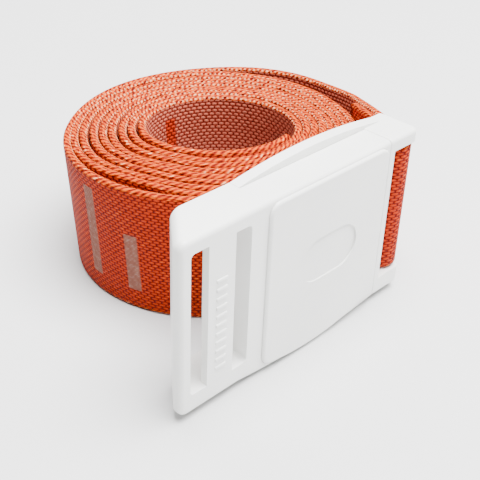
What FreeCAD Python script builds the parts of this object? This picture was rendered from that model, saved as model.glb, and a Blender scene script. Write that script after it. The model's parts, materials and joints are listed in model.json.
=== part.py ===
import FreeCAD, Part
import math
import os
import Sketcher
from FreeCAD import Placement, Rotation, Vector

# A rolled webbing strap with a slide-release magnetic buckle at its outer end.
# Frame: +X along the buckle from its adjuster end to its strap end, -Y is the side that the buckle
# faces, +Z up. The origin is the middle of the whole footprint, on the surface that the roll stands on.

DOC = FreeCAD.newDocument("strap")

# Driving dimensions, in millimetres and degrees.
SIZES = {
    # the webbing and its roll
    "strap_width": 40.0,
    "strap_thickness": 2.2,
    "roll_length": 96.0,
    "roll_depth": 84.0,
    "roll_end_radius": 38.0,
    "roll_hole_radius": 20.3,
    "roll_hole_forward": 1.0,
    "roll_slack": 6.0,
    "turn_gap": 0.2,
    "flap_length": 21.0,
    "tack_width": 2.0,
    "tack_margin": 3.0,
    "tack_height": 0.4,
    # the whole buckle
    "buckle_length": 87.4,
    "buckle_width": 48.8,
    "buckle_thickness": 12.7,
    "buckle_to_roll": 1.3,
    "buckle_left": 66.5,
    "lower_rail_extra": 1.8,
    "top_bulge": 2.2,
    "top_bulge_end": 82.0,
    "foot_bulge": 2.0,
    "foot_bulge_start": 20.0,
    "split_left": 27.5,
    "split_right": 75.0,
    "back_plate": 3.2,
    "run_gap": 0.1,
    "edge_round": 1.4,
    "corner_round": 2.5,
    "plan_round": 2.0,
    "seam_round": 0.4,
    "back_bevel": 1.4,
    "lap": 0.5,
    # adjuster end of the front half
    "end_slant": 8.3,
    "slot_length": 41.0,
    "first_slot_left": 3.2,
    "first_slot": 5.6,
    "centre_bar": 8.6,
    "centre_bar_depth": 2.2,
    "second_slot": 5.2,
    "end_slat": 3.6,
    "rail_bevel": 2.2,
    "rail_bevel_depth": 6.2,
    "end_nose": 2.6,
    "slot_corner": 1.2,
    # strap end of the back half
    "end_wall": 2.0,
    "end_bar_radius": 2.2,
    "end_bar_left": 84.2,
    "end_bar_height": 7.2,
    "loop_gap": 0.3,
    "loop_neck": 8.0,
    "lead_start": 10.5,
    # cover plate
    "cover_left": 28.3,
    "cover_thickness": 2.0,
    "cover_proud": 0.9,
    "cover_margin": 1.0,
    "cover_corner": 3.5,
    "cover_edge_round": 0.8,
    "cover_belly": 3.8,
    "cover_belly_start": 22.0,
    "cover_belly_end": 72.0,
    "thumb_length": 22.0,
    "thumb_width": 13.0,
    "thumb_depth": 0.5,
    # lock: boss, catches, spring and magnets
    "release_travel": 12.0,
    "boss_length": 31.0,
    "boss_width": 20.0,
    "boss_height": 4.1,
    "boss_gap": 0.15,
    "catch_reach": 1.6,
    "catch_length": 12.0,
    "catch_thickness": 1.2,
    "spring_width": 8.0,
    "spring_thickness": 0.6,
    "spring_level": 5.2,
    "magnet_radius": 6.0,
    "magnet_thickness": 3.0,
    "magnet_spread": 9.0,
    "magnet_gap": 0.1,
    "back_cover": 1.4,
    "back_cover_rim": 2.0,
}


def make_sheet():
    sheet = DOC.addObject("Spreadsheet::Sheet", "sizes")
    for row, (name, value) in enumerate(SIZES.items(), start=1):
        sheet.set("A%d" % row, name)
        sheet.set("B%d" % row, str(value))
        sheet.setAlias("B%d" % row, name)
    DOC.recompute()
    return sheet


SHEET = make_sheet()


def size(name):
    """A driving dimension, read back from the sheet."""
    return float(SHEET.get(name))


# Values that several pieces share.
STRAP_W = size("strap_width")
STRAP_T = size("strap_thickness")
HALF_W = size("buckle_width") / 2
THICK = size("buckle_thickness")
# The buckle's lower rail is the wider one, and its finger bulge stands level with the foot of the roll.
LOW_EDGE = -HALF_W - size("lower_rail_extra")
FOOT = LOW_EDGE - size("foot_bulge")
BUCKLE_Z = -FOOT
# The buckle's back left corner, seen from the middle of the roll.
BUCKLE_Y = -size("roll_depth") / 2 - size("buckle_to_roll")
BUCKLE_X = -size("buckle_left")
# The roll stands so that the footprint of roll and buckle together is centred on the origin.
ROLL_CENTRE = Vector(-(BUCKLE_X + size("roll_length") / 2) / 2,
                     -(BUCKLE_Y - THICK - size("cover_proud") + size("roll_depth") / 2) / 2, 0)
ROLL_FRAME = Placement(ROLL_CENTRE, Rotation())
# The buckle's own frame lies flat on its back: X along it, Y across it, Z up to its face.
STANDING = Placement(ROLL_CENTRE + Vector(BUCKLE_X, BUCKLE_Y, BUCKLE_Z), Rotation(Vector(1, 0, 0), 90))
LOCK_X = (size("cover_left") + size("split_right")) / 2
WINDOW_LEFT = size("first_slot_left")
BAR_LEFT = WINDOW_LEFT + size("first_slot")
BAR_RIGHT = BAR_LEFT + size("centre_bar")
WINDOW_RIGHT = BAR_RIGHT + size("second_slot")
HALF_SLOT = size("slot_length") / 2


def origin_plane(body, role):
    for feature in body.Origin.OriginFeatures:
        if feature.Role == role:
            return feature
    raise RuntimeError("no plane %s" % role)


def new_body(label, placement=None):
    body = DOC.addObject("PartDesign::Body", label)
    body.Label = label
    if placement is not None:
        body.Placement = placement
    return body


def new_sketch(body, name, plane="XY_Plane", level=0.0):
    """A sketch on one of the body's own planes, moved along that plane's normal by level."""
    sketch = body.newObject("Sketcher::SketchObject", name)
    sketch.AttachmentSupport = [(origin_plane(body, plane), "")]
    sketch.MapMode = "FlatFace"
    if isinstance(level, str):
        sketch.setExpression("AttachmentOffset.Base.z", level)
    else:
        sketch.AttachmentOffset = Placement(Vector(0, 0, level), Rotation())
    return sketch


def add_outline(sketch, curves):
    """Closed outline from lines and arcs that meet end to end."""
    for curve in curves:
        sketch.addGeometry(curve, False)


def line(start, end):
    return Part.LineSegment(Vector(*start, 0), Vector(*end, 0))


def polygon(points):
    return [line(points[i - 1], points[i]) for i in range(len(points))]


def arc_through(start, middle, end):
    return Part.Arc(Vector(*start, 0), Vector(*middle, 0), Vector(*end, 0))


def arc_about(centre, radius, start_angle, end_angle):
    circle = Part.Circle(Vector(*centre, 0), Vector(0, 0, 1), radius)
    return Part.ArcOfCircle(circle, math.radians(start_angle), math.radians(end_angle))


def add_rectangle(sketch, left, right, low, high):
    """Rectangle whose four sides are held by expressions of the sheet, or by plain numbers."""
    values = [read(bound) for bound in (left, right, low, high)]
    corners = [(values[0], values[2]), (values[1], values[2]), (values[1], values[3]), (values[0], values[3])]
    first = sketch.GeometryCount
    for index in range(4):
        sketch.addGeometry(line(corners[index], corners[(index + 1) % 4]), False)
    for index in range(4):
        following = first + (index + 1) % 4
        sketch.addConstraint(Sketcher.Constraint("Coincident", first + index, 2, following, 1))
    for index in (0, 2):
        sketch.addConstraint(Sketcher.Constraint("Horizontal", first + index))
    for index in (1, 3):
        sketch.addConstraint(Sketcher.Constraint("Vertical", first + index))
    hold(sketch, "DistanceX", first, 1, left)
    hold(sketch, "DistanceX", first + 1, 1, right)
    hold(sketch, "DistanceY", first, 1, low)
    hold(sketch, "DistanceY", first + 2, 1, high)


def read(bound):
    """The value of a plain number or of an expression that names cells of the sheet."""
    if not isinstance(bound, str):
        return bound
    text = bound.replace("sizes.", "")
    total = 0.0
    for term in text.replace("-", "+-").split("+"):
        term = term.strip()
        if not term:
            continue
        sign = -1.0 if term.startswith("-") else 1.0
        factors = term.lstrip("-").strip().split("/")
        name = factors[0].strip()
        value = size(name) if name in SIZES else float(name)
        for divisor in factors[1:]:
            value /= float(divisor)
        total += sign * value
    return total


def hold(sketch, kind, geometry, point, bound):
    """Fix one coordinate of a point; an expression keeps it bound to the sheet."""
    index = sketch.addConstraint(Sketcher.Constraint(kind, -1, 1, geometry, point, read(bound)))
    if isinstance(bound, str):
        sketch.setExpression("Constraints[%d]" % index, bound)


def add_circle(sketch, x, y, radius):
    index = sketch.addGeometry(Part.Circle(Vector(read(x), read(y), 0), Vector(0, 0, 1), read(radius)), False)
    hold(sketch, "DistanceX", index, 3, x)
    hold(sketch, "DistanceY", index, 3, y)
    constraint = sketch.addConstraint(Sketcher.Constraint("Radius", index, read(radius)))
    if isinstance(radius, str):
        sketch.setExpression("Constraints[%d]" % constraint, radius)


def finish_feature(feature, sketch, length, reverse):
    feature.Profile = sketch
    if isinstance(length, str):
        feature.setExpression("Length", length)
    else:
        feature.Length = length
    feature.Reversed = reverse
    sketch.Visibility = False


def pad(body, name, sketch, length, reverse=False):
    feature = body.newObject("PartDesign::Pad", name)
    finish_feature(feature, sketch, length, reverse)
    DOC.recompute()
    return feature


def pocket(body, name, sketch, length, reverse=False):
    """Cut, checked by volume, because a cut that points away from the solid shows no error."""
    before = body.Shape.Volume
    feature = body.newObject("PartDesign::Pocket", name)
    finish_feature(feature, sketch, length, reverse)
    DOC.recompute()
    if body.Shape.Volume >= before - 1e-6:
        raise RuntimeError("%s cuts nothing" % name)
    return feature


def fillet(body, name, radius, chosen):
    """Round the edges of the body's shape that the test chooses."""
    base = body.Tip
    edges = ["Edge%d" % (i + 1) for i, edge in enumerate(base.Shape.Edges) if chosen(edge)]
    if not edges:
        raise RuntimeError("%s finds no edge" % name)
    feature = body.newObject("PartDesign::Fillet", name)
    feature.Base = (base, edges)
    if isinstance(radius, str):
        feature.setExpression("Radius", radius)
    else:
        feature.Radius = radius
    DOC.recompute()
    return feature


def near(value, target):
    return abs(value - target) < 0.02


def upright(edge, x=None, y=None):
    """An edge that stands along Z, at x and y where they are given."""
    box = edge.BoundBox
    stands = box.XLength < 1e-4 and box.YLength < 1e-4
    return stands and (x is None or near(box.Center.x, x)) and (y is None or near(box.Center.y, y))


def level_at(edge, height):
    box = edge.BoundBox
    return near(box.ZMin, height) and near(box.ZMax, height)


# ------------------------------------------------------------------ the webbing


def oval(centre_x, half_length, half_depth, end_radius, inset=0.0):
    """Four tangent arcs, from the right-hand one and anticlockwise, all drawn in by inset.

    The arcs at the two ends of the longer way have the end radius.
    """
    short = min(half_length, half_depth)
    reach = max(half_length, half_depth) - end_radius
    drop = short - end_radius
    if drop <= 0:
        raise ValueError("the roll's end radius must be less than half its shorter way")
    side = (reach * reach - drop * drop) / (2 * drop)
    turn = math.degrees(math.atan2(side, reach))
    side_radius = short + side
    if half_length >= half_depth:
        return {
            "right": ((centre_x + reach, 0.0), end_radius - inset, -turn, turn),
            "back": ((centre_x, -side), side_radius - inset, turn, 180 - turn),
            "left": ((centre_x - reach, 0.0), end_radius - inset, 180 - turn, 180 + turn),
            "front": ((centre_x, side), side_radius - inset, 180 + turn, 360 - turn),
        }
    return {
        "right": ((centre_x - side, 0.0), side_radius - inset, turn - 90, 90 - turn),
        "back": ((centre_x, reach), end_radius - inset, 90 - turn, 90 + turn),
        "left": ((centre_x + side, 0.0), side_radius - inset, 90 + turn, 270 - turn),
        "front": ((centre_x, -reach), end_radius - inset, 270 - turn, 270 + turn),
    }


HALF_LENGTH = size("roll_length") / 2
HALF_DEPTH = size("roll_depth") / 2
END_RADIUS = size("roll_end_radius")
OUTER_OVAL = oval(0.0, HALF_LENGTH, HALF_DEPTH, END_RADIUS)
OUTER_OVAL_INSIDE = oval(0.0, HALF_LENGTH, HALF_DEPTH, END_RADIUS, STRAP_T)

# The loop round the end bar, and the straight lead from it to the roll. The lead touches the loop's
# outside and the roll's right-hand end, as a taut belt does.
LOOP_INNER = size("end_bar_radius") + size("loop_gap")
LOOP_OUTER = LOOP_INNER + STRAP_T
BAR_CENTRE = (BUCKLE_X + size("end_bar_left"), BUCKLE_Y - size("end_bar_height"))
END_CENTRE, RIGHT_RADIUS = OUTER_OVAL["right"][:2]
SPAN_X = END_CENTRE[0] - BAR_CENTRE[0]
SPAN_Y = END_CENTRE[1] - BAR_CENTRE[1]
SPAN = math.hypot(SPAN_X, SPAN_Y)
SPAN_TURN = math.atan2(SPAN_Y, SPAN_X) - math.asin((RIGHT_RADIUS - LOOP_OUTER) / SPAN)
LEAD_TURN = math.degrees(SPAN_TURN)
LEAD_END = math.sqrt(SPAN * SPAN - (RIGHT_RADIUS - LOOP_OUTER) ** 2)
LEAD_START = size("lead_start")
# The buckle stands taller than the strap is wide, so the lead climbs to the middle of the buckle.
LEAD_CLIMB = BUCKLE_Z - STRAP_W / 2
LEAD_FRAME = Placement(ROLL_CENTRE + Vector(*BAR_CENTRE, 0), Rotation(Vector(0, 0, 1), LEAD_TURN))
# Where the sewn-back flap's free face lies beside the lead, across from the bar's centre.
FLAP_FACE = LOOP_OUTER - 2 * STRAP_T


def build_strap_roll():
    """The inner turns, wound on each other, round an open middle."""
    slack = size("roll_slack")
    gap = size("turn_gap")
    body = new_body("strap_roll", ROLL_FRAME)
    sketch = new_sketch(body, "roll_outline")
    # The slack opens a wedge at the right-hand end. It eases the rounder turns all round by half of
    # itself, and the turns of a roll that is longer than deep by less, because their sides lie flat.
    inset = STRAP_T + gap
    flatter = min(max(HALF_LENGTH - HALF_DEPTH, 0.0), slack)
    side_ease = slack / 2 - flatter * 3 / 8
    end_ease = slack / 2 - flatter / 4
    shape = oval(-slack / 2, HALF_LENGTH - inset - slack / 2, HALF_DEPTH - inset - side_ease,
                 END_RADIUS - inset - end_ease)
    add_outline(sketch, [arc_about(*arc) for arc in shape.values()])
    add_circle(sketch, 0.0, "-sizes.roll_hole_forward", "sizes.roll_hole_radius")
    pad(body, "roll_height", sketch, "sizes.strap_width")
    return body


def build_strap_outer_turn():
    """The last turn: from the lead's end round the right, back, left and front of the roll."""
    body = new_body("strap_outer_turn", ROLL_FRAME)
    sketch = new_sketch(body, "turn_outline")
    start = LEAD_TURN - 90
    stop = 270.0
    outside = []
    inside = []
    for oval_arcs, curves in ((OUTER_OVAL, outside), (OUTER_OVAL_INSIDE, inside)):
        centre, radius, first, last = oval_arcs["right"]
        curves.append(arc_about(centre, radius, start, last))
        curves.append(arc_about(*oval_arcs["back"]))
        curves.append(arc_about(*oval_arcs["left"]))
        centre, radius, first, last = oval_arcs["front"]
        curves.append(arc_about(centre, radius, first, stop))
    ends = []
    for pick in ("StartPoint", "EndPoint"):
        index = 0 if pick == "StartPoint" else -1
        ends.append(Part.LineSegment(getattr(outside[index], pick), getattr(inside[index], pick)))
    add_outline(sketch, outside + inside + ends)
    pad(body, "turn_height", sketch, "sizes.strap_width")
    return body


def climb(along):
    """Height of the lead's lower edge at a distance along it from the bar's centre."""
    return LEAD_CLIMB * (LEAD_END - along) / (LEAD_END - LEAD_START)


def build_strap_lead():
    """The taut run from the loop to the roll, doubled where the end is sewn back on it."""
    body = new_body("strap_lead", LEAD_FRAME)
    flap_end = LEAD_START + size("flap_length")
    # The body's XZ plane looks along -Y, so a level of +LOOP_OUTER is the lead's outer face.
    for name, level, end in (("run", LOOP_OUTER, LEAD_END), ("flap", LOOP_OUTER - STRAP_T, flap_end)):
        sketch = new_sketch(body, name + "_outline", "XZ_Plane", level)
        low_start = climb(LEAD_START)
        low_end = climb(end)
        add_outline(sketch, polygon([
            (LEAD_START, low_start), (end, low_end), (end, low_end + STRAP_W),
            (LEAD_START, low_start + STRAP_W)]))
        pad(body, name, sketch, "sizes.strap_thickness", reverse=True)
    return body


def tangent_angle(point, radius):
    """Angle, about a circle at the origin, where a line from the point touches its far left side."""
    distance = math.hypot(*point)
    return math.degrees(math.atan2(point[1], point[0]) + math.acos(radius / distance))


def on_circle(radius, angle):
    return (radius * math.cos(math.radians(angle)), radius * math.sin(math.radians(angle)))


def build_strap_end_loop():
    """The loop round the end bar: round on the bar's far side, closing to the doubled lead."""
    body = new_body("strap_end_loop", LEAD_FRAME)
    sketch = new_sketch(body, "loop_outline", "XY_Plane", LEAD_CLIMB)
    # In the lead's frame the outer run lies on the -Y side and the flap on the +Y side.
    flap_corner = (LEAD_START, -FLAP_FACE)
    neck = (size("loop_neck"), -LOOP_INNER)
    outer_touch = tangent_angle(flap_corner, LOOP_OUTER)
    inner_touch = tangent_angle(neck, LOOP_INNER)
    add_outline(sketch, [
        line((LEAD_START, -LOOP_OUTER), (0, -LOOP_OUTER)),
        arc_through((0, -LOOP_OUTER), (-LOOP_OUTER, 0), on_circle(LOOP_OUTER, outer_touch)),
        line(on_circle(LOOP_OUTER, outer_touch), flap_corner),
        line(flap_corner, (LEAD_START, -LOOP_OUTER)),
        line(neck, (0, -LOOP_INNER)),
        arc_through((0, -LOOP_INNER), (-LOOP_INNER, 0), on_circle(LOOP_INNER, inner_touch)),
        line(on_circle(LOOP_INNER, inner_touch), neck)])
    pad(body, "loop_height", sketch, "sizes.strap_width")
    return body


def build_bar_tacks():
    """Two rows of dense sewing across the doubled lead, proud of both of its faces."""
    body = new_body("end_loop_stitching", LEAD_FRAME)
    margin = size("tack_margin")
    width = size("tack_width")
    flap_end = LEAD_START + size("flap_length")
    for side, level in (("outer", LOOP_OUTER + size("tack_height")), ("inner", FLAP_FACE)):
        for row, left in (("near", LEAD_START + margin), ("far", flap_end - margin - width)):
            name = "%s_%s" % (side, row)
            sketch = new_sketch(body, name + "_outline", "XZ_Plane", level)
            right = left + width
            add_outline(sketch, polygon([
                (left, climb(left) + margin), (right, climb(right) + margin),
                (right, climb(right) + STRAP_W - margin), (left, climb(left) + STRAP_W - margin)]))
            pad(body, name, sketch, "sizes.tack_height", reverse=True)
    return body


# ------------------------------------------------------------------ the front half of the buckle


def outline_with_foot(right):
    """The front half's outline, with its lower side swelling out for a finger as far as its right end."""
    start = size("foot_bulge_start")
    return [
        line((0, LOW_EDGE), (start, LOW_EDGE)),
        arc_through((start, LOW_EDGE), ((start + right) / 2, FOOT), (right, LOW_EDGE)),
        line((right, LOW_EDGE), (right, HALF_W)),
        line((right, HALF_W), (0, HALF_W)),
        line((0, HALF_W), (0, LOW_EDGE)),
    ]


def outline_with_crown(left, right):
    """The back half's outline, with its upper side swelling out for the other finger."""
    end = size("top_bulge_end")
    return [
        line((left, LOW_EDGE), (right, LOW_EDGE)),
        line((right, LOW_EDGE), (right, HALF_W)),
        line((right, HALF_W), (end, HALF_W)),
        arc_through((end, HALF_W), ((left + end) / 2, HALF_W + size("top_bulge")), (left, HALF_W)),
        line((left, HALF_W), (left, LOW_EDGE)),
    ]


def cover_outline(grow):
    """The cover plate's outline, or its seat's when grow is its clearance.

    Its lower edge is a shallow arc, and every corner is a tangent arc.
    """
    margin = size("cover_margin") - grow
    left = size("cover_left") - grow
    right = size("split_right") - margin
    high = HALF_W - margin
    corner = size("cover_corner") + grow
    belly = size("cover_belly")
    half_chord = (size("cover_belly_end") - size("cover_belly_start")) / 2
    middle = (size("cover_belly_start") + size("cover_belly_end")) / 2
    belly_radius = (half_chord ** 2 + belly ** 2) / (2 * belly)
    centre_y = belly_radius - HALF_W - belly
    radius = belly_radius - margin
    centres = []
    touches = []
    for x in (left + corner, right - corner):
        y = centre_y - math.sqrt((radius - corner) ** 2 - (x - middle) ** 2)
        centres.append((x, y))
        share = radius / (radius - corner)
        touches.append((middle + (x - middle) * share, centre_y + (y - centre_y) * share))
    lean = [math.degrees(math.atan2(touch[1] - centre[1], touch[0] - centre[0]))
            for touch, centre in zip(touches, centres)]
    return [
        arc_through(touches[0], (middle, centre_y - radius), touches[1]),
        arc_about(centres[1], corner, lean[1], 0),
        line((right, centres[1][1]), (right, high - corner)),
        arc_about((right - corner, high - corner), corner, 0, 90),
        line((right - corner, high), (left + corner, high)),
        arc_about((left + corner, high - corner), corner, 90, 180),
        line((left, high - corner), (left, centres[0][1])),
        arc_about(centres[0], corner, 180, lean[0] + 360),
    ]


SEAT_FLOOR = THICK + size("cover_proud") - size("cover_thickness")
CAVITY_ROOF = size("back_plate") + size("boss_height") + size("run_gap") + size("boss_gap")
MAGNET_PLACES = (("left", LOCK_X - size("magnet_spread")), ("right", LOCK_X + size("magnet_spread")))


def at_rail_side(edge):
    """An edge on the buckle's upper side or on the straight part of its lower side."""
    middle = edge.BoundBox.Center.y
    return near(middle, HALF_W) or near(middle, LOW_EDGE)


def build_front_housing():
    body = new_body("front_housing", STANDING)
    parting = size("back_plate") + size("run_gap")

    sketch = new_sketch(body, "face_outline", "XY_Plane", parting)
    add_outline(sketch, outline_with_foot(size("split_right")))
    pad(body, "face_block", sketch, THICK - parting)

    sketch = new_sketch(body, "end_outline")
    add_rectangle(sketch, 0.0, size("split_left") - size("run_gap"), LOW_EDGE, HALF_W)
    pad(body, "adjuster_end", sketch, parting + size("lap"))

    # The end leans away from the face, and its front edge is a soft nose.
    sketch = new_sketch(body, "slant_outline", "XZ_Plane", -FOOT)
    slant = size("end_slant")
    nose = size("end_nose")
    add_outline(sketch, polygon([(-1, -1), (slant, -1), (slant, 0), (0, THICK - nose), (-1, THICK - nose)]))
    pocket(body, "slanted_end", sketch, HALF_W - FOOT)

    # One window between the rails, which the centre bar then divides into the two slots.
    sketch = new_sketch(body, "window_outline", "XZ_Plane", HALF_SLOT)
    slat_foot = slant + size("end_slat")
    add_outline(sketch, polygon([
        (WINDOW_LEFT, THICK + 1), (WINDOW_LEFT, THICK - nose), (slat_foot, -1), (WINDOW_RIGHT, -1),
        (WINDOW_RIGHT, THICK + 1)]))
    pocket(body, "window", sketch, "sizes.slot_length")

    # Behind, the rails' inner corners are bevelled to let the strap swing.
    for side in (-1, 1):
        name = "upper" if side > 0 else "lower"
        sketch = new_sketch(body, name + "_bevel_outline", "YZ_Plane", slat_foot)
        add_outline(sketch, polygon([
            (side * HALF_SLOT, THICK - size("rail_bevel_depth")),
            (side * (HALF_SLOT + size("rail_bevel")), -1), (side * (HALF_SLOT - 1), -1),
            (side * (HALF_SLOT - 1), THICK - size("rail_bevel_depth"))]))
        pocket(body, name + "_bevel", sketch, WINDOW_RIGHT - slat_foot, reverse=True)

    sketch = new_sketch(body, "bar_outline", "XY_Plane", THICK - size("centre_bar_depth"))
    lap = size("lap")
    add_rectangle(sketch, BAR_LEFT, BAR_RIGHT, -HALF_SLOT - lap, HALF_SLOT + lap)
    pad(body, "centre_bar_web", sketch, "sizes.centre_bar_depth")

    # The hollow that takes the back half's boss, long enough for the release travel.
    half_boss = size("boss_length") / 2 + size("catch_reach")
    sketch = new_sketch(body, "hollow_outline", "XY_Plane", parting)
    add_rectangle(sketch, LOCK_X - half_boss, LOCK_X + half_boss,
                  -size("boss_width") / 2 - size("release_travel") - size("boss_gap"),
                  size("boss_width") / 2 + size("boss_gap"))
    pocket(body, "boss_hollow", sketch, CAVITY_ROOF - parting, reverse=True)

    # Catches on both sides of the hollow, which hook behind the ends of the locking spring.
    half_catch = size("catch_length") / 2
    reach = size("catch_reach") - size("boss_gap")
    for name, left in (("left", LOCK_X - half_boss - lap), ("right", LOCK_X + half_boss - reach)):
        sketch = new_sketch(body, name + "_catch_outline", "XY_Plane", parting)
        add_rectangle(sketch, left, left + reach + lap, -half_catch, half_catch)
        pad(body, name + "_catch", sketch, "sizes.catch_thickness")

    sketch = new_sketch(body, "seat_outline", "XY_Plane", THICK)
    add_outline(sketch, cover_outline(size("run_gap")))
    pocket(body, "cover_seat", sketch, THICK - SEAT_FLOOR)

    sketch = new_sketch(body, "magnet_outline", "XY_Plane", SEAT_FLOOR)
    for name, x in MAGNET_PLACES:
        add_circle(sketch, x, 0.0, size("magnet_radius") + size("magnet_gap"))
    pocket(body, "magnet_pockets", sketch, size("magnet_thickness") + size("magnet_gap"))

    fillet(body, "end_corners", "sizes.corner_round",
           lambda edge: edge.BoundBox.XMax < slant + 0.1 and at_rail_side(edge)
           and edge.BoundBox.YLength < 0.01 and edge.BoundBox.ZLength > 1)
    fillet(body, "slot_corners", "sizes.slot_corner",
           lambda edge: near(abs(edge.BoundBox.Center.y), HALF_SLOT) and edge.BoundBox.YLength < 0.01
           and near(edge.BoundBox.ZMax, THICK) and edge.BoundBox.ZLength > 1
           and (edge.BoundBox.XMax < BAR_LEFT or near(edge.BoundBox.XMin, WINDOW_RIGHT)))
    fillet(body, "face_edge", "sizes.edge_round",
           lambda edge: level_at(edge, THICK) and (at_rail_side(edge) or near(edge.BoundBox.YMin, FOOT)
                                                   or near(edge.BoundBox.XMin, 0)))
    fillet(body, "seam_edges", "sizes.seam_round",
           lambda edge: (level_at(edge, parting) and near(edge.BoundBox.Center.y, HALF_W)
                         and edge.BoundBox.XLength > 1)
           or (level_at(edge, THICK) and near(edge.BoundBox.XMin, size("split_right"))))
    return body


def build_front_cover():
    body = new_body("front_cover_plate", STANDING)
    sketch = new_sketch(body, "cover_outline", "XY_Plane", SEAT_FLOOR)
    add_outline(sketch, cover_outline(0.0))
    pad(body, "cover", sketch, "sizes.cover_thickness")
    top = SEAT_FLOOR + size("cover_thickness")
    fillet(body, "cover_edge", "sizes.cover_edge_round", lambda edge: level_at(edge, top))
    # A shallow oval hollow for the thumb.
    sketch = new_sketch(body, "thumb_outline", "XY_Plane", top)
    half = size("thumb_length") / 2 - size("thumb_width") / 2
    radius = size("thumb_width") / 2
    add_outline(sketch, [
        line((LOCK_X - half, -radius), (LOCK_X + half, -radius)),
        arc_about((LOCK_X + half, 0), radius, -90, 90),
        line((LOCK_X + half, radius), (LOCK_X - half, radius)),
        arc_about((LOCK_X - half, 0), radius, 90, 270)])
    pocket(body, "thumb_hollow", sketch, "sizes.thumb_depth")
    return body


def build_magnets(prefix, level):
    bodies = []
    for name, x in MAGNET_PLACES:
        body = new_body("%s_magnet_%s" % (prefix, name), STANDING)
        sketch = new_sketch(body, "%s_%s_disc_outline" % (prefix, name), "XY_Plane", level)
        add_circle(sketch, x, 0.0, "sizes.magnet_radius")
        pad(body, "%s_%s_disc" % (prefix, name), sketch, "sizes.magnet_thickness")
        bodies.append(body)
    return bodies


# ------------------------------------------------------------------ the back half of the buckle


def build_back_housing():
    body = new_body("back_housing", STANDING)
    right = size("buckle_length")
    wall_left = size("split_right") + size("run_gap")
    plate = size("back_plate")

    sketch = new_sketch(body, "plate_outline")
    add_outline(sketch, outline_with_crown(size("split_left"), right))
    pad(body, "plate", sketch, "sizes.back_plate")

    sketch = new_sketch(body, "frame_outline")
    add_rectangle(sketch, wall_left, right, LOW_EDGE, HALF_W)
    pad(body, "strap_frame", sketch, "sizes.buckle_thickness")

    sketch = new_sketch(body, "slot_outline", "XY_Plane", THICK)
    add_rectangle(sketch, wall_left + size("end_wall"), right + 1, -HALF_SLOT, HALF_SLOT)
    pocket(body, "strap_slot", sketch, THICK + 1)

    lap = size("lap")
    sketch = new_sketch(body, "end_bar_outline", "XZ_Plane", HALF_SLOT + lap)
    add_circle(sketch, "sizes.end_bar_left", "sizes.end_bar_height", "sizes.end_bar_radius")
    pad(body, "end_bar", sketch, size("slot_length") + 2 * lap, reverse=True)

    half_boss = size("boss_length") / 2
    sketch = new_sketch(body, "boss_outline", "XY_Plane", plate - lap)
    add_rectangle(sketch, LOCK_X - half_boss, LOCK_X + half_boss,
                  -size("boss_width") / 2, size("boss_width") / 2)
    pad(body, "boss", sketch, size("boss_height") + lap)

    # The spring lies in a slot right through the boss, with its two ends showing.
    sketch = new_sketch(body, "spring_slot_outline", "XZ_Plane",
                        size("spring_width") / 2 + size("magnet_gap"))
    low = size("spring_level") - size("magnet_gap") / 2
    add_rectangle(sketch, LOCK_X - half_boss - 1, LOCK_X + half_boss + 1, low,
                  low + size("spring_thickness") + size("magnet_gap"))
    pocket(body, "spring_slot", sketch, size("spring_width") + 2 * size("magnet_gap"))

    sketch = new_sketch(body, "magnet_outline", "XY_Plane", 0.0)
    for name, x in MAGNET_PLACES:
        add_circle(sketch, x, 0.0, size("magnet_radius") + size("magnet_gap"))
    pocket(body, "magnet_pockets", sketch, size("back_cover") + size("magnet_thickness") + size("magnet_gap"),
           reverse=True)

    sketch = new_sketch(body, "cover_seat_outline", "XY_Plane", 0.0)
    half_cover = back_cover_half()
    add_rectangle(sketch, LOCK_X - half_cover[0] - size("run_gap"), LOCK_X + half_cover[0] + size("run_gap"),
                  -half_cover[1] - size("run_gap"), half_cover[1] + size("run_gap"))
    pocket(body, "cover_seat", sketch, "sizes.back_cover", reverse=True)

    bevel = size("back_bevel")
    sketch = new_sketch(body, "back_bevel_outline", "XZ_Plane", -FOOT)
    add_outline(sketch, polygon([(right - bevel, 0), (right, bevel), (right + 1, bevel), (right + 1, -1),
                                 (right - bevel, -1)]))
    pocket(body, "end_back_bevel", sketch, HALF_W - FOOT)

    fillet(body, "end_front_corners", "sizes.plan_round",
           lambda edge: near(edge.BoundBox.XMin, right) and edge.BoundBox.XLength < 0.01
           and level_at(edge, THICK) and edge.BoundBox.YLength > 1)
    fillet(body, "frame_edge", "sizes.edge_round",
           lambda edge: level_at(edge, THICK) and at_rail_side(edge))
    fillet(body, "seam_edge", "sizes.seam_round",
           lambda edge: level_at(edge, THICK) and near(edge.BoundBox.XMax, wall_left))
    return body


def back_cover_half():
    """Half sizes of the plate that closes both magnet pockets."""
    rim = size("back_cover_rim")
    return (size("magnet_spread") + size("magnet_radius") + rim, size("magnet_radius") + rim)


def build_back_cover():
    body = new_body("back_magnet_cover", STANDING)
    half = back_cover_half()
    sketch = new_sketch(body, "back_cover_outline")
    add_rectangle(sketch, LOCK_X - half[0], LOCK_X + half[0], -half[1], half[1])
    pad(body, "back_cover_plate", sketch, "sizes.back_cover")
    return body


def build_locking_spring():
    body = new_body("locking_spring", STANDING)
    half = size("boss_length") / 2 + size("catch_reach") - size("boss_gap")
    sketch = new_sketch(body, "spring_outline", "XY_Plane", "sizes.spring_level")
    add_rectangle(sketch, LOCK_X - half, LOCK_X + half, "-sizes.spring_width/2", "sizes.spring_width/2")
    pad(body, "spring_strip", sketch, "sizes.spring_thickness")
    return body


def build_all():
    bodies = [build_strap_roll(), build_strap_outer_turn(), build_strap_lead(), build_strap_end_loop(),
              build_bar_tacks(), build_front_housing(), build_front_cover()]
    bodies += build_magnets("front", SEAT_FLOOR - size("magnet_thickness"))
    bodies += [build_back_housing(), build_back_cover(), build_locking_spring()]
    bodies += build_magnets("back", size("back_cover"))
    return bodies


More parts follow.
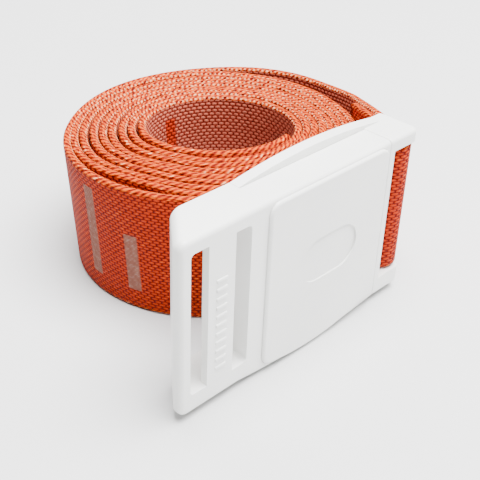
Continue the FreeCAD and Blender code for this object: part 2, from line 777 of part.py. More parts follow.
def check_document():
    for item in DOC.Objects:
        if "Invalid" in item.State or "Error" in item.State:
            raise RuntimeError("%s failed: %s" % (item.Label, item.State))


def main():
    bodies = build_all()
    DOC.recompute()
    check_document()
    for body in bodies:
        if body.Shape.isNull() or not body.Shape.isValid():
            raise RuntimeError("%s has no sound shape" % body.Label)
    os.makedirs("parts", exist_ok=True)
    for body in bodies:
        body.Shape.exportStep("parts/%s.step" % body.Label)
        box = body.Shape.BoundBox
        print("%-22s solids %d volume %9.1f  x %7.2f %7.2f  y %7.2f %7.2f  z %7.2f %7.2f" % (
            body.Label, len(body.Shape.Solids), body.Shape.Volume, box.XMin, box.XMax, box.YMin, box.YMax,
            box.ZMin, box.ZMax))


main()
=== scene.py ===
import json
import math

import bmesh
import bpy
from mathutils import Matrix, Vector


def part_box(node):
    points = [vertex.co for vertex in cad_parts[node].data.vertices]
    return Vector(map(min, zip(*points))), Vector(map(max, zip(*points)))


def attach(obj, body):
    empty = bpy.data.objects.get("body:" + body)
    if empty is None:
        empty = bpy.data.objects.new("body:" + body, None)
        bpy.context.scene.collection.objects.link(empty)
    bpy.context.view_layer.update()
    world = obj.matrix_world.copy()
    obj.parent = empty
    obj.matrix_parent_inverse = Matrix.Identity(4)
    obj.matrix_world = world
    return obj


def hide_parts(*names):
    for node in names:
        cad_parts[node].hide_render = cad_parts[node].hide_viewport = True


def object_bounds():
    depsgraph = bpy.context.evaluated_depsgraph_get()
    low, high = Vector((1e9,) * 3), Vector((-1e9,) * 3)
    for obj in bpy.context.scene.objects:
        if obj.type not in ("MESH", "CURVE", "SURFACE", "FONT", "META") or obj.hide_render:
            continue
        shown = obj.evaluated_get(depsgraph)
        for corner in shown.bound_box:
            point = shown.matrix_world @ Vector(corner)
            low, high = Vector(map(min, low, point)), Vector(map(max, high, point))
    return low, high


bl_info = {
    "name": "Rolled Strap With Magnetic Buckle",
    "version": (1, 0, 0),
    "blender": (4, 5, 0),
    "location": "View3D > Sidebar > Strap",
    "description": "A rolled woven strap with its end loop and sewing, and a white moulded buckle",
    "category": "Object",
}

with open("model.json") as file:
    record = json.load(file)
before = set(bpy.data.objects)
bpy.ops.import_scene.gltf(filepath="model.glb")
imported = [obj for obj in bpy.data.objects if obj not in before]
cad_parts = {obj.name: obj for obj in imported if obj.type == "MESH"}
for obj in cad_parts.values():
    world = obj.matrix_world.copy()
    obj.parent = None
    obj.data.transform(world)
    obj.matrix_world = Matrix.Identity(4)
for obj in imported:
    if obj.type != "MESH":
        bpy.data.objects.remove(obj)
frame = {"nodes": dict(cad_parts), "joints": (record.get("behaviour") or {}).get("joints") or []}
CAD_LOW, CAD_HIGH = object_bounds()

SWING = [joint for joint in frame["joints"] if joint["name"] == "buckle_swing"][0]
BAR = Vector(SWING["pos_m"])
TURN_LOW, TURN_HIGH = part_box("strap_outer_turn")
ROLL = (TURN_LOW + TURN_HIGH) / 2
FRONT_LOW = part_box("front_housing")[0]

# The ribs on the centre bar: how far in from the buckle's end, and from the end bar's middle down.
RIB_FROM_END = 0.0131
RIB_DROP = 0.0165
RIB_COUNT = 11
RIB_PITCH = 0.0026
RIB_SIZE = (0.0036, 0.0007, 0.0011)
# The sewing: its two rows' distances from the end bar, and half the size of one stitch.
TACK_PLACES = (0.0145, 0.0275)
TACK_STITCHES = 25
TACK_MARGIN = 0.0035
STITCH_SIZE = (0.0013, 0.00022, 0.00042)
# The stage: each light's name, place, width and power.
LIGHTS = (
    ("key", (0.10, -0.20, 1.0), 0.9, 66.0),
    ("fill", (0.7, -0.35, 0.35), 0.6, 5.0),
    ("back", (0.25, 0.7, 0.7), 0.9, 12.0),
)
LIGHT_AIM = (0.0, 0.0, 0.02)
CAMERA_LENS = 71.6
CAMERA_PLACE = (-0.17263, -0.17571, 0.16518)
CAMERA_TURN = (-46.48, 57.20, 2.27)


# ------------------------------------------------------------------ sizes and colours


class StrapSizes(bpy.types.PropertyGroup):
    width: bpy.props.FloatProperty(
        name="Width", description="Across the webbing", default=0.040, unit="LENGTH")
    thickness: bpy.props.FloatProperty(
        name="Thickness", description="Through the webbing", default=0.00235, unit="LENGTH")
    turns: bpy.props.FloatProperty(
        name="Turns", description="Turns wound, from the inner end to the lead", default=8.9)
    end_radius: bpy.props.FloatProperty(
        name="End Radius", description="Bend of the roll's left and right ends", default=0.038, unit="LENGTH")
    hole_long: bpy.props.FloatProperty(
        name="Hole Long Radius", description="Open middle, its longer way", default=0.0203, unit="LENGTH")
    hole_short: bpy.props.FloatProperty(
        name="Hole Short Radius", description="Open middle, its shorter way", default=0.0163, unit="LENGTH")
    hole_turn: bpy.props.FloatProperty(
        name="Hole Turn", description="Way that the open middle's longer radius points",
        default=math.radians(-40),
        subtype="ANGLE")
    slack: bpy.props.FloatProperty(
        name="Slack", description="Width of the wedge at the roll's right end", default=0.0052, unit="LENGTH")
    loop_radius: bpy.props.FloatProperty(
        name="Loop Radius", description="Middle of the webbing round the end bar",
        default=0.0036, unit="LENGTH")
    flap_length: bpy.props.FloatProperty(
        name="Flap Length", description="End sewn back beside the lead", default=0.0215, unit="LENGTH")
    lean: bpy.props.FloatProperty(
        name="Lean", description="How far the roll's foot stands off sideways from its top", default=0.0028,
        unit="LENGTH")
    step: bpy.props.FloatProperty(
        name="Step", description="Spacing of the rows of faces along the webbing",
        default=0.0011, unit="LENGTH")


class WeaveSizes(bpy.types.PropertyGroup):
    pick: bpy.props.FloatProperty(
        name="Pick", description="One weave repeat along the webbing", default=0.0020, unit="LENGTH")
    end: bpy.props.FloatProperty(
        name="End", description="One weave repeat across the webbing", default=0.0009, unit="LENGTH")
    edge_pick: bpy.props.FloatProperty(
        name="Edge Pick", description="One repeat of the plaited edge", default=0.0021, unit="LENGTH")
    motif: bpy.props.FloatProperty(
        name="Motif Repeat", description="Length of one pair of woven bars and its space", default=0.052,
        unit="LENGTH")
    motif_start: bpy.props.FloatProperty(
        name="Motif Start", description="Where the short bar lies in each repeat",
        default=0.0068, unit="LENGTH")
    bar_space: bpy.props.FloatProperty(
        name="Bar Space", description="From the short woven bar to the tall one",
        default=0.014, unit="LENGTH")
    stroke: bpy.props.FloatProperty(
        name="Stroke", description="Width of a woven bar", default=0.0040, unit="LENGTH")


class Colours(bpy.types.PropertyGroup):
    orange: bpy.props.FloatVectorProperty(
        name="Orange", description="Ground threads", subtype="COLOR", size=4,
        default=(0.43, 0.026, 0.0010, 1))
    # Painted shade: the dark red laid in the gaps between the threads, and in the grooves of the sewing
    # thread's twist.
    gap_shade: bpy.props.FloatVectorProperty(
        name="Deep Red", description="Between the threads", subtype="COLOR", size=4,
        default=(0.11, 0.0015, 0.0, 1))
    # Painted highlight: the light orange laid on the crowns of the threads, and on the crests of the sewing
    # thread's twist.
    bright: bpy.props.FloatVectorProperty(
        name="Bright Orange", description="Crowns of the threads", subtype="COLOR", size=4,
        default=(0.72, 0.085, 0.004, 1))
    crest: bpy.props.FloatVectorProperty(
        name="Edge Crest", description="Crests of the plaited edge", subtype="COLOR", size=4,
        default=(0.56, 0.078, 0.0008, 1))
    pale: bpy.props.FloatVectorProperty(
        name="Pale Thread", description="Figure threads", subtype="COLOR", size=4,
        default=(0.32, 0.120, 0.085, 1))
    shade: bpy.props.FloatVectorProperty(
        name="Shaded Pale", description="Figure threads on the back", subtype="COLOR", size=4,
        default=(0.50, 0.12, 0.070, 1))
    plastic: bpy.props.FloatVectorProperty(
        name="White Plastic", description="Both buckle halves", subtype="COLOR", size=4,
        default=(0.83, 0.83, 0.81, 1))


# ------------------------------------------------------------------ shader tools


class Term:
    """A number that changes over a surface. Arithmetic on it adds Math nodes."""

    def __init__(self, shader, socket):
        self.shader = shader
        self.socket = socket

    def math(self, operation, *others):
        return self.shader.math(operation, self, *others)

    def __add__(self, other):
        return self.math("ADD", other)

    __radd__ = __add__

    def __sub__(self, other):
        return self.math("SUBTRACT", other)

    def __rsub__(self, other):
        return self.shader.math("SUBTRACT", other, self)

    def __mul__(self, other):
        return self.math("MULTIPLY", other)

    __rmul__ = __mul__

    def __truediv__(self, other):
        return self.math("DIVIDE", other)

    def __lt__(self, other):
        return self.math("LESS_THAN", other)

    def __gt__(self, other):
        return self.math("GREATER_THAN", other)


class Shader:
    """One procedural material and the nodes in it."""

    def __init__(self, name):
        self.material = bpy.data.materials.new(name)
        self.material.use_nodes = True
        self.nodes = self.material.node_tree.nodes
        self.links = self.material.node_tree.links
        self.surface = self.nodes["Principled BSDF"]

    def node(self, kind, settings=None, values=None, output=0):
        """Add a node: its settings first, then a value or a link for each named or numbered socket."""
        made = self.nodes.new(kind)
        for key, value in (settings or {}).items():
            if key == "ramp":
                self.fill_ramp(made.color_ramp, value)
            else:
                setattr(made, key, value)
        for key, value in (values or {}).items():
            self.feed(made.inputs[key], value)
        return Term(self, made.outputs[output])

    def fill_ramp(self, ramp, stops):
        while len(ramp.elements) < len(stops):
            ramp.elements.new(0.5)
        for element, (place, colour) in zip(ramp.elements, stops):
            element.position = place
            element.color = colour

    def feed(self, socket, value):
        if isinstance(value, Term):
            self.links.new(value.socket, socket)
        else:
            socket.default_value = value

    def math(self, operation, *terms):
        values = dict(enumerate(terms))
        return self.node("ShaderNodeMath", {"operation": operation}, values)

    def smooth(self, term, low, high):
        """0 below low, 1 above high, and eased between."""
        return self.node("ShaderNodeMapRange", {"interpolation_type": "SMOOTHSTEP"},
                         {"Value": term, "From Min": low, "From Max": high, "To Min": 0.0, "To Max": 1.0})

    def mix(self, share, first, second):
        """Colour that goes from first to second."""
        return self.node("ShaderNodeMix", {"data_type": "RGBA"}, {0: share, 6: first, 7: second}, output=2)

    def stretched(self, vector, scale):
        return self.node("ShaderNodeVectorMath", {"operation": "MULTIPLY"}, {0: vector, 1: scale})

    def noise(self, vector, scale, detail=2.0):
        return self.node("ShaderNodeTexNoise", {}, {"Vector": vector, "Scale": scale, "Detail": detail})

    def along_across(self):
        """Metres along the webbing, metres across it, and both as a vector."""
        place = self.node("ShaderNodeUVMap", {"uv_map": "webbing"})
        apart = self.nodes.new("ShaderNodeSeparateXYZ")
        self.links.new(place.socket, apart.inputs[0])
        return Term(self, apart.outputs[0]), Term(self, apart.outputs[1]), place

    def bump(self, height, distance, strength=1.0):
        return self.node("ShaderNodeBump", {}, {"Height": height, "Distance": distance, "Strength": strength})

    def set(self, **values):
        names = {"colour": "Base Color", "roughness": "Roughness", "normal": "Normal", "metallic": "Metallic",
                 "specular": "Specular IOR Level", "coat": "Coat Weight", "coat_roughness": "Coat Roughness"}
        for key, value in values.items():
            self.feed(self.surface.inputs[names[key]], value)
        return self.material


def thread_height(shader, along, across, pick, end):
    """Rows of short floating threads, each row half a repeat along from the next."""
    row = across / end
    aside = row.math("FLOOR").math("FLOORED_MODULO", 2.0) * 0.5
    float_part = ((along / pick + aside).math("FRACT") * math.pi).math("SINE")
    row_part = (row.math("FRACT") * math.pi).math("SINE")
    return float_part.math("POWER", 0.6) * (row_part * 0.65 + 0.35)


def figure_mask(shader, along, height, weave, width, plain_from):
    """1 inside the woven figure, a short bar beside a tall one, over and over, as far as the lead."""
    tip = 0.0003
    bars = []
    for start, top in ((weave.motif_start, 0.60), (weave.motif_start + weave.bar_space, 0.86)):
        place = shader.math("FLOORED_MODULO", along - start + weave.motif / 2, weave.motif)
        aside = (place - weave.motif / 2).math("ABSOLUTE")
        upright = (height - width * (top + 0.14) / 2).math("ABSOLUTE")
        bars.append(shader.smooth(weave.stroke / 2 - aside, -tip, tip)
                    * shader.smooth(width * (top - 0.14) / 2 - upright, -tip, tip))
    return bars[0].math("MAXIMUM", bars[1]) * (along < plain_from)


# A darker copy of a colour; it paints the shade in the grooves of the pale ribbed bars.
def painted_shade_of(colour, share):
    return [channel * share for channel in colour[:3]] + [1]


def webbing_front_material(weave, colours, width, plain_from):
    """Rows of short orange dashes with painted dark red shade between them and painted highlights on their
    crowns, and pale ribbed bars with painted shade in their grooves and painted highlights on their crests.
    """
    shader = Shader("webbing_front")
    along, across, place = shader.along_across()
    fray = shader.noise(place, 700.0, 3.0)
    patches = shader.noise(place, 45.0, 2.0)
    height = thread_height(shader, along + (fray - 0.5) * 0.0003, across, weave.pick, weave.end)
    mask = figure_mask(shader, along, across, weave, width, plain_from)
    # Painted shade: the dark red fills the low parts between the raised threads.
    crown = shader.smooth(height + (fray - 0.5) * 0.7, 0.30, 0.75)
    ground = shader.mix(crown, colours.gap_shade[:], colours.orange[:])
    # Painted highlight: light orange on the highest crowns, in patches.
    glint = shader.smooth(height + (fray - 0.5) * 1.1 + (patches - 0.5) * 0.9, 0.92, 1.20)
    ground = shader.mix(glint * 0.8, ground, colours.bright[:])
    ribs = (along * (math.pi / weave.pick) + across * (4 * math.pi / weave.end)).math("SINE") * 0.5 + 0.5
    # Painted shade in the grooves between the pale ribs, and a painted highlight on their crests.
    raised = shader.smooth(ribs + (fray - 0.5) * 0.8, 0.1, 0.7)
    figure = shader.mix(raised, painted_shade_of(colours.pale, 0.5), colours.pale[:])
    gleam = shader.smooth(ribs + (fray - 0.5) * 1.2, 0.85, 1.2)
    figure = shader.mix(gleam * 0.4, figure, (0.80, 0.55, 0.44, 1))
    colour = shader.mix(mask, ground, figure)
    relief = height * (1.0 - mask) + (ribs * 0.7 + 0.4) * mask + fray * 0.4
    return shader.set(colour=colour, roughness=0.55 + fray * 0.2, specular=0.08,
                      normal=shader.bump(relief, 0.00035))


def webbing_back_material(weave, colours, width, plain_from):
    """Brownish pink crossing threads with painted dark shade between them and paler crowns, and orange flecks
    with painted dark shade between them behind the pale bars.
    """
    shader = Shader("webbing_back")
    along, across, place = shader.along_across()
    fray = shader.noise(place, 700.0, 3.0)
    height = thread_height(shader, along, across, weave.pick, weave.end * 1.3)
    # The back's width is counted on from the front's, so it runs the other way up.
    upwards = 2 * width - across
    mask = figure_mask(shader, along, upwards, weave, width, plain_from)
    # Painted shade: a dark brownish red in the low parts between the threads.
    crown = shader.smooth(height + (fray - 0.5) * 0.4, 0.3, 0.8)
    ground = shader.mix(crown, (0.16, 0.014, 0.006, 1), colours.shade[:])
    ground = shader.mix(shader.smooth(height + (fray - 0.5) * 0.5, 0.8, 1.05) * 0.7, ground, colours.pale[:])
    # Painted shade: dark red between the orange threads behind the pale bars.
    figure = shader.mix(crown, (0.14, 0.002, 0.0, 1), colours.orange[:])
    colour = shader.mix(mask, ground, figure)
    relief = height + fray * 0.4
    return shader.set(colour=colour, roughness=0.6 + fray * 0.2, specular=0.08,
                      normal=shader.bump(relief, 0.00035))


def webbing_edge_material(weave, colours):
    """The plaited edge: twisted vivid orange strands along it with painted dark shade between them and
    painted pale highlight flecks on them, and a pale beaded line on its inner side.
    """
    shader = Shader("webbing_edge")
    along, across, place = shader.along_across()
    fray = shader.noise(place, 1100.0, 2.0)
    clumps = shader.noise(place, 300.0, 2.0)
    turn = 2 * math.pi
    lean = along + (clumps - 0.5) * 0.0018
    strands = (lean * (turn / weave.edge_pick) + across * (turn / 0.0018)).math("SINE") * 0.5 + 0.5
    streaks = shader.noise(shader.stretched(place, (0.22, 1.0, 1.0)), 1500.0, 2.0)
    height = strands * 0.45 + (streaks - 0.5) * 1.3 + 0.28
    # Painted shade: near black and dark red in the low parts between the strands.
    colour = shader.mix(shader.smooth(height, 0.12, 0.40), (0.055, 0.0004, 0.0, 1), (0.24, 0.011, 0.0, 1))
    colour = shader.mix(shader.smooth(height, 0.38, 0.72), colour, colours.crest[:])
    # This pale colour serves both the painted highlight flecks and the real pale beaded line.
    thread = (0.92, 0.50, 0.28, 1)
    # Painted highlight: pale flecks on the highest parts of the strands.
    flecks = shader.smooth(height + (clumps - 0.5) * 1.4, 0.88, 1.12)
    colour = shader.mix(flecks * 0.75, colour, thread)
    bead = (along * (turn / 0.0015)).math("SINE") * 0.5 + 0.5 + (fray - 0.5) * 1.0
    line = shader.smooth(across - 0.0402, 0.0, 0.0002) * shader.smooth(0.0411 - across, 0.0, 0.0002)
    colour = shader.mix(line * shader.smooth(bead + (streaks - 0.5) * 1.6, 0.45, 0.9) * 0.5, colour, thread)
    return shader.set(colour=colour, roughness=0.55, specular=0.05, normal=shader.bump(height, 0.0005))


def plastic_material(name, colour):
    """White moulded plastic: a satin skin with the faintest flow marks."""
    shader = Shader(name)
    place = shader.node("ShaderNodeTexCoord", output=3)
    flow = shader.noise(place, 35.0, 3.0)
    grain = shader.noise(place, 2600.0, 2.0)
    shade = [channel * 0.93 for channel in colour[:3]] + [1]
    surface = shader.mix(shader.smooth(flow, 0.25, 0.75), shade, colour)
    return shader.set(colour=surface, roughness=0.30 + grain * 0.12, normal=shader.bump(grain, 0.00002, 0.6),
                      coat=0.15, coat_roughness=0.2)


def metal_material(name, colour, streaks):
    shader = Shader(name)
    place = shader.node("ShaderNodeTexCoord", output=3)
    brushed = shader.noise(place, streaks, 3.0)
    surface = shader.mix(brushed, [channel * 0.75 for channel in colour[:3]] + [1], colour)
    return shader.set(colour=surface, metallic=1.0, roughness=0.2 + brushed * 0.25)


def thread_material(name, colours):
    shader = Shader(name)
    place = shader.node("ShaderNodeTexCoord", output=3)
    twist = shader.node("ShaderNodeTexWave", {"bands_direction": "DIAGONAL"},
                        {"Vector": place, "Scale": 900.0}, output=1)
    # Painted shade in the grooves of the twist and painted highlight on its crests.
    colour = shader.mix(twist, colours.gap_shade, colours.bright)
    return shader.set(colour=colour, roughness=0.6, normal=shader.bump(twist, 0.0001), specular=0.1)


# ------------------------------------------------------------------ shared making


def clear_selection():
    bpy.ops.object.select_all(action="DESELECT")


def make_mesh_object(name, vertices, faces):
    mesh = bpy.data.meshes.new(name)
    mesh.from_pydata(vertices, [], faces)
    made = bpy.data.objects.new(name, mesh)
    bpy.context.scene.collection.objects.link(made)
    return made


def face_outwards(piece):
    clear_selection()
    piece.select_set(True)
    bpy.context.view_layer.objects.active = piece
    bpy.ops.object.mode_set(mode="EDIT")
    bpy.ops.mesh.select_all(action="SELECT")
    bpy.ops.mesh.normals_make_consistent(inside=False)
    bpy.ops.object.mode_set(mode="OBJECT")


def settle(piece, body, slot, *nodes):
    """Hand a finished piece to its CAD body."""
    if nodes:
        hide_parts(*nodes)
    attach(piece, body)


def eased(value):
    value = min(1.0, max(0.0, value))
    return value * value * (3 - 2 * value)


# ------------------------------------------------------------------ the webbing's route


def ray_to_circle(direction, centre_x, centre_y, radius):
    """How far from the origin a ray meets a circle that holds the origin."""
    along = centre_x * direction[0] + centre_y * direction[1]
    return along + math.sqrt(radius ** 2 - centre_x ** 2 - centre_y ** 2 + along ** 2)


def oval_radius(angle, half_length, half_depth, end_radius, shift=0.0):
    """Polar radius of an oval of four tangent arcs whose middle is shifted along X."""
    reach = half_length - end_radius
    drop = half_depth - end_radius
    side = (reach ** 2 - drop ** 2) / (2 * drop)
    turn = math.atan2(side, reach)
    touch = (reach + end_radius * math.cos(turn), end_radius * math.sin(turn))
    direction = (math.cos(angle), math.sin(angle))
    right = math.atan2(touch[1], touch[0] + shift)
    left = math.atan2(touch[1], -touch[0] + shift)
    steep = abs(math.atan2(direction[1], direction[0]))
    if steep < right:
        return ray_to_circle(direction, shift + reach, 0.0, end_radius)
    if steep > left:
        return ray_to_circle(direction, shift - reach, 0.0, end_radius)
    return ray_to_circle(direction, shift, -math.copysign(side, direction[1]), half_depth + side)


def hole_radius(angle, sizes):
    spin = angle - sizes.hole_turn
    return 1 / math.hypot(math.cos(spin) / sizes.hole_long, math.sin(spin) / sizes.hole_short)


def uneven_packing(level):
    """How the turns share out the spare room: more of it next to the innermost turn."""
    inner_share = 1.98 * (1 - math.exp(-level / 1.1))
    ripple = 0.16 * math.sin(level * 2.2) + 0.08 * math.sin(level * 4.1 + 1.0)
    return 0.74 * level + inner_share + ripple


class Route:
    """The webbing's middle line, from its inner end, round the roll, along the lead and round the end bar."""

    def __init__(self, sizes):
        self.sizes = sizes
        self.half_length = (TURN_HIGH.x - TURN_LOW.x) / 2
        self.half_depth = (TURN_HIGH.y - TURN_LOW.y) / 2
        half = sizes.thickness / 2
        end_centre = Vector((ROLL.x + self.half_length - sizes.end_radius, ROLL.y))
        span = end_centre - BAR.xy
        outside = sizes.end_radius - half - sizes.loop_radius
        self.heading = math.atan2(span.y, span.x) - math.asin(outside / span.length)
        self.lead_length = math.sqrt(span.length ** 2 - outside ** 2)
        ahead = Vector((math.cos(self.heading), math.sin(self.heading)))
        self.ahead = ahead
        self.right = Vector((ahead.y, -ahead.x))
        tangent_point = end_centre + self.right * (sizes.end_radius - half) - ROLL.xy
        self.last_angle = math.atan2(tangent_point.y, tangent_point.x)

    def wound(self, angle):
        """A point of the roll, by its angle counted inwards from where the lead touches."""
        sizes = self.sizes
        depth = (angle - self.last_angle) / (2 * math.pi)
        half = sizes.thickness / 2
        outer = oval_radius(angle, self.half_length, self.half_depth, sizes.end_radius) - half
        slack = sizes.slack
        inner_roll = oval_radius(angle, self.half_length - 0.0024 - slack / 2, self.half_depth - 0.0026,
                                 sizes.end_radius - 0.0045, -slack / 2)
        inner_roll -= 0.0036 * math.exp(-((math.degrees(angle) % 360 - 194) / 21) ** 2)
        hole = hole_radius(angle, sizes)
        level = sizes.turns - depth
        pitch = (inner_roll - hole) / (sizes.turns - 0.9 + 0.55 * max(0.0, math.cos(angle)))
        tight = sizes.thickness + 0.00004
        spare = max(0.0, pitch - tight)
        radius = hole + half + level * tight + spare * uneven_packing(level)
        radius += (outer - radius) * eased((0.94 - depth) / 0.27)
        return ROLL.xy + Vector((math.cos(angle), math.sin(angle))) * radius

    def rolled_points(self):
        found = []
        angle = self.last_angle + 2 * math.pi * self.sizes.turns
        while angle > self.last_angle:
            spot = self.wound(angle)
            found.append(spot)
            angle -= self.sizes.step / (spot - ROLL.xy).length
        return found

    def rolled_length(self):
        spots = self.rolled_points()
        return sum((after - before).length for before, after in zip(spots, spots[1:]))

    def points(self):
        """Points along the whole middle line."""
        sizes = self.sizes
        found = self.rolled_points()
        steps = int(self.lead_length / sizes.step)
        for index in range(steps, 0, -1):
            forward = self.lead_length * index / steps
            found.append(BAR.xy + self.ahead * forward + self.right * sizes.loop_radius)
        bends = 26
        for index in range(bends):
            turn = -math.pi / 2 - math.pi * index / bends
            aim = self.ahead * math.cos(turn) - self.right * math.sin(turn)
            found.append(BAR.xy + aim * sizes.loop_radius)
        neck = 0.011
        beside = sizes.loop_radius - sizes.thickness - 0.00005
        total = neck + sizes.flap_length
        steps = int(total / sizes.step)
        for index in range(steps + 1):
            forward = total * index / steps
            offset = -sizes.loop_radius + (beside + sizes.loop_radius) * eased(forward / neck)
            found.append(BAR.xy + self.ahead * forward + self.right * offset)
        return found

    def climb(self, distance_to_bar):
        """Height of the webbing's middle above the roll's, by how far it still has to go to the end bar."""
        rise = BAR.z - self.sizes.width / 2
        return rise * eased(1.0 - (distance_to_bar - 0.004) / 0.062)


def webbing_profile(width, thickness):
    """The webbing's cross-section, as points (across, out) in order, and the edge bead on both sides."""
    half = width / 2
    out = thickness / 2
    bead = 0.0011
    points = []
    for side in (1, -1):
        for share in (-1.0, -0.5, 0.0, 0.5, 1.0):
            points.append((side * share * (half - bead), side * out))
        for turn in (65, 40, 0, -40, -65):
            lean = math.radians(turn)
            points.append((side * (half - bead + bead * math.cos(lean)), side * out * math.sin(lean)))
    return points


def build_webbing(sizes):
    route = Route(sizes)
    spots = route.points()
    count = len(spots)
    gone = [0.0]
    for index in range(1, count):
        gone.append(gone[-1] + (spots[index] - spots[index - 1]).length)
    near_end = [index for index in range(count) if gone[index] > gone[-1] * 0.9]
    bar_index = min(near_end, key=lambda index: (spots[index] - BAR.xy).length)
    profile = webbing_profile(sizes.width, sizes.thickness)
    around = [0.0]
    for index in range(len(profile)):
        first = Vector(profile[index])
        second = Vector(profile[(index + 1) % len(profile)])
        around.append(around[-1] + (second - first).length)
    rows = []
    for index, spot in enumerate(spots):
        before = spots[max(0, index - 1)]
        after = spots[min(count - 1, index + 1)]
        heading = (after - before).normalized()
        outward = Vector((-heading.y, heading.x, 0))
        to_bar = abs(gone[bar_index] - gone[index])
        low = route.climb(to_bar)
        here = abs(gone[bar_index] - gone[min(count - 1, index + 1)])
        slope = (route.climb(here) - low) / max(1e-6, (after - spot).length) if index < count - 1 else 0.0
        up = Vector((-heading.x * slope, -heading.y * slope, 1)).normalized()
        rolled = eased((gone[bar_index] - gone[index] - 0.03) / 0.05)
        wander = 0.00025 * math.sin(gone[index] * 31.0) + 0.0002 * math.sin(gone[index] * 83.0)
        middle = Vector((spot.x, spot.y, sizes.width / 2 + low + wander * rolled))
        ring = []
        for across, out in profile:
            off = sizes.lean * rolled * (0.5 - across / sizes.width)
            ring.append(middle + up * across + outward * out + Vector((off, -off * 0.15, 0)))
        rows.append(ring)
    return rows, gone, around, profile


def mesh_from_rows(name, rows, gone, around, profile):
    """A closed band, with each face's place along and around the webbing kept as its UV map."""
    size = len(profile)
    vertices = [point for ring in rows for point in ring]
    faces = []
    for row in range(len(rows) - 1):
        for index in range(size):
            nearby = (index + 1) % size
            faces.append((row * size + index, row * size + nearby,
                          (row + 1) * size + nearby, (row + 1) * size + index))
    faces.append(tuple(range(size)))
    faces.append(tuple((len(rows) - 1) * size + index for index in reversed(range(size))))
    band = make_mesh_object(name, vertices, faces)
    layer = band.data.uv_layers.new(name="webbing")
    for polygon in band.data.polygons:
        strip = polygon.index % size
        row = polygon.index // size
        for corner, loop in enumerate(polygon.loop_indices):
            if polygon.index >= (len(rows) - 1) * size:
                layer.data[loop].uv = (gone[0], 0.041)
                continue
            later = corner in (2, 3)
            further = corner in (1, 2)
            layer.data[loop].uv = (gone[row + (1 if later else 0)], around[strip + (1 if further else 0)])
        polygon.material_index = material_for_strip(strip, size)
        polygon.use_smooth = True
    return band


def material_for_strip(strip, size):
    """0 on the outer face, 1 on the inner face and 2 on both woven edges."""
    half = size // 2
    within = strip % half
    if within < 4:
        return 0 if strip < half else 1
    return 2


# ------------------------------------------------------------------ operators


class STRAP_OT_materials(bpy.types.Operator):
    """Makes every material and puts the hard ones on the CAD nodes"""
    bl_idname = "strap.materials"
    bl_label = "Make Materials"

    def execute(self, context):
        scene = context.scene
        colours = scene.strap_colours
        weave = scene.strap_weave
        width = scene.strap_sizes.width
        plain_from = Route(scene.strap_sizes).rolled_length() - 0.02
        webbing_front_material(weave, colours, width, plain_from)
        webbing_back_material(weave, colours, width, plain_from)
        webbing_edge_material(weave, colours)
        thread_material("sewing_thread", colours)
        plastic = plastic_material("white_moulded_plastic", colours.plastic[:])
        nickel = metal_material("nickel_plate", (0.72, 0.70, 0.66, 1), 400.0)
        steel = metal_material("spring_steel", (0.55, 0.55, 0.57, 1), 900.0)
        for name, node in frame["nodes"].items():
            chosen = nickel if "magnet_left" in name or "magnet_right" in name else plastic
            if name == "locking_spring":
                chosen = steel
            for slot in node.material_slots:
                slot.material = chosen
        return {"FINISHED"}


class STRAP_OT_webbing(bpy.types.Operator):
    """Winds the one length of webbing, from its inner end to its sewn flap"""
    bl_idname = "strap.webbing"
    bl_label = "Wind Webbing"

    def execute(self, context):
        sizes = context.scene.strap_sizes
        rows, gone, around, profile = build_webbing(sizes)
        band = mesh_from_rows("webbing", rows, gone, around, profile)
        for name in ("webbing_front", "webbing_back", "webbing_edge"):
            band.data.materials.append(bpy.data.materials[name])
        face_outwards(band)
        settle(band, "strap", "webbing", "strap_roll", "strap_outer_turn", "strap_lead", "strap_end_loop")
        return {"FINISHED"}


class STRAP_OT_sewing(bpy.types.Operator):
    """Sews two rows of dense stitches across the doubled lead, on both of its faces"""
    bl_idname = "strap.sewing"
    bl_label = "Sew End Loop"

    def execute(self, context):
        sizes = context.scene.strap_sizes
        route = Route(sizes)
        clear_selection()
        bpy.ops.mesh.primitive_uv_sphere_add(segments=8, ring_count=6, radius=1.0)
        pattern = context.active_object
        parts = []
        outer = sizes.loop_radius + sizes.thickness / 2
        inner = sizes.loop_radius - sizes.thickness * 1.5
        for forward in TACK_PLACES:
            for side in (outer, inner):
                low = route.climb(forward + 0.003)
                for index in range(TACK_STITCHES):
                    lean = 0.5 if index % 2 else -0.5
                    stitch = pattern.data.copy()
                    share = (index + 0.5) / TACK_STITCHES
                    height = low + TACK_MARGIN + (sizes.width - 2 * TACK_MARGIN) * share
                    spot = BAR.xy + route.ahead * forward + route.right * side
                    turn = Matrix.Rotation(route.heading, 4, "Z") @ Matrix.Rotation(lean, 4, "Y")
                    size = Matrix.Diagonal(STITCH_SIZE + (1,))
                    stitch.transform(Matrix.Translation((spot.x, spot.y, height)) @ turn @ size)
                    part = bpy.data.objects.new("stitch", stitch)
                    context.scene.collection.objects.link(part)
                    parts.append(part)
        bpy.data.objects.remove(pattern)
        clear_selection()
        for part in parts:
            part.select_set(True)
        context.view_layer.objects.active = parts[0]
        bpy.ops.object.join()
        sewing = context.active_object
        sewing.name = "loop_sewing"
        sewing.data.materials.clear()
        sewing.data.materials.append(bpy.data.materials["sewing_thread"])
        bpy.ops.object.shade_smooth()
        settle(sewing, "strap", "thread", "end_loop_stitching")
        return {"FINISHED"}


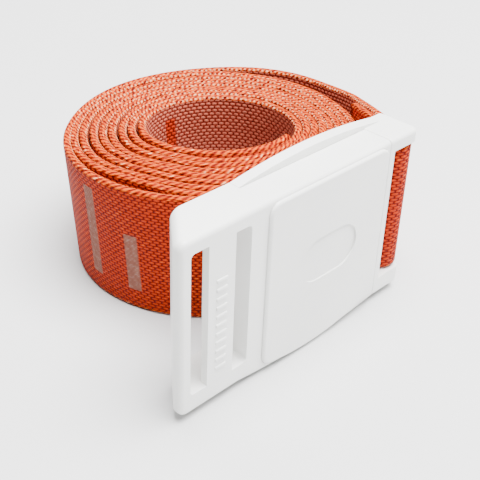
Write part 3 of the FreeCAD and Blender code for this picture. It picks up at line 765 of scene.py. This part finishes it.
class STRAP_OT_ribs(bpy.types.Operator):
    """Raises a row of plain soft-edged ribs on the adjuster's centre bar"""
    bl_idname = "strap.ribs"
    bl_label = "Raise Bar Ribs"

    def execute(self, context):
        middle = FRONT_LOW.x + RIB_FROM_END
        face = FRONT_LOW.y
        parts = []
        for index in range(RIB_COUNT):
            clear_selection()
            height = BAR.z - RIB_DROP + RIB_PITCH * index
            bpy.ops.mesh.primitive_cube_add(size=1.0, location=(middle, face, height))
            rib = context.active_object
            rib.scale = RIB_SIZE
            bpy.ops.object.transform_apply(location=True, rotation=True, scale=True)
            bevel = rib.modifiers.new("soft_edges", "BEVEL")
            bevel.width = 0.00028
            bevel.segments = 3
            bpy.ops.object.modifier_apply(modifier=bevel.name)
            parts.append(rib)
        clear_selection()
        for part in parts:
            part.select_set(True)
        context.view_layer.objects.active = parts[0]
        bpy.ops.object.join()
        ribs = context.active_object
        ribs.name = "centre_bar_ribs"
        ribs.data.materials.append(bpy.data.materials["white_moulded_plastic"])
        bpy.ops.object.shade_smooth_by_angle(angle=math.radians(40))
        settle(ribs, "front_half", "white_plastic")
        return {"FINISHED"}


class STRAP_OT_stage(bpy.types.Operator):
    """Sets the floor, the soft lights and the camera"""
    bl_idname = "strap.stage"
    bl_label = "Set Stage"

    def execute(self, context):
        clear_selection()
        bpy.ops.mesh.primitive_plane_add(size=4.0, location=(0, 0, CAD_LOW.z))
        floor = context.active_object
        floor.name = "floor"
        shader = Shader("pale_floor")
        place = shader.node("ShaderNodeTexCoord", output=3)
        tone = shader.noise(place, 6.0)
        colour = shader.mix(tone, (0.60, 0.60, 0.60, 1), (0.63, 0.63, 0.63, 1))
        floor.data.materials.append(shader.set(colour=colour, roughness=0.8))
        for name, place, size, power in LIGHTS:
            self.add_light(name, place, size, power)
        world = bpy.data.worlds.new("studio")
        world.use_nodes = True
        world.node_tree.nodes["Background"].inputs[0].default_value = (1, 1, 1, 1)
        world.node_tree.nodes["Background"].inputs[1].default_value = 0.25
        context.scene.world = world
        self.add_camera(context)
        return {"FINISHED"}

    def add_light(self, name, place, size, power):
        data = bpy.data.lights.new(name, "AREA")
        data.shape = "DISK"
        data.size = size
        data.energy = power
        lamp = bpy.data.objects.new(name, data)
        lamp.location = place
        lamp.rotation_euler = (Vector(LIGHT_AIM) - Vector(place)).to_track_quat("-Z", "Y").to_euler()
        bpy.context.scene.collection.objects.link(lamp)

    def add_camera(self, context):
        data = bpy.data.cameras.new("camera")
        data.sensor_width = 36.0
        data.lens = CAMERA_LENS
        data.clip_start = 0.01
        camera = bpy.data.objects.new("camera", data)
        heading, tilt, roll = (math.radians(angle) for angle in CAMERA_TURN)
        turn = Matrix.Rotation(heading, 4, "Z") @ Matrix.Rotation(tilt, 4, "X")
        camera.matrix_world = Matrix.Translation(CAMERA_PLACE) @ turn @ Matrix.Rotation(roll, 4, "Z")
        context.scene.collection.objects.link(camera)
        context.scene.camera = camera


class STRAP_PT_panel(bpy.types.Panel):
    """Lists the sizes, the colours and the steps"""
    bl_label = "Rolled Strap"
    bl_idname = "STRAP_PT_panel"
    bl_space_type = "VIEW_3D"
    bl_region_type = "UI"
    bl_category = "Strap"

    def draw(self, context):
        layout = self.layout
        for group in (context.scene.strap_sizes, context.scene.strap_weave, context.scene.strap_colours):
            for name in group.__annotations__:
                layout.prop(group, name)
        for step in STEPS:
            layout.operator(step.bl_idname)


STEPS = (STRAP_OT_materials, STRAP_OT_webbing, STRAP_OT_sewing, STRAP_OT_ribs, STRAP_OT_stage)
CLASSES = (StrapSizes, WeaveSizes, Colours) + STEPS + (STRAP_PT_panel,)


def register():
    for made in CLASSES:
        bpy.utils.register_class(made)
    bpy.types.Scene.strap_sizes = bpy.props.PointerProperty(type=StrapSizes)
    bpy.types.Scene.strap_weave = bpy.props.PointerProperty(type=WeaveSizes)
    bpy.types.Scene.strap_colours = bpy.props.PointerProperty(type=Colours)


def unregister():
    del bpy.types.Scene.strap_sizes
    del bpy.types.Scene.strap_weave
    del bpy.types.Scene.strap_colours
    for made in reversed(CLASSES):
        bpy.utils.unregister_class(made)


def main():
    register()
    bpy.ops.strap.materials()
    bpy.ops.strap.webbing()
    bpy.ops.strap.sewing()
    bpy.ops.strap.ribs()
    bpy.ops.strap.stage()


if __name__ == "__main__":
    main()
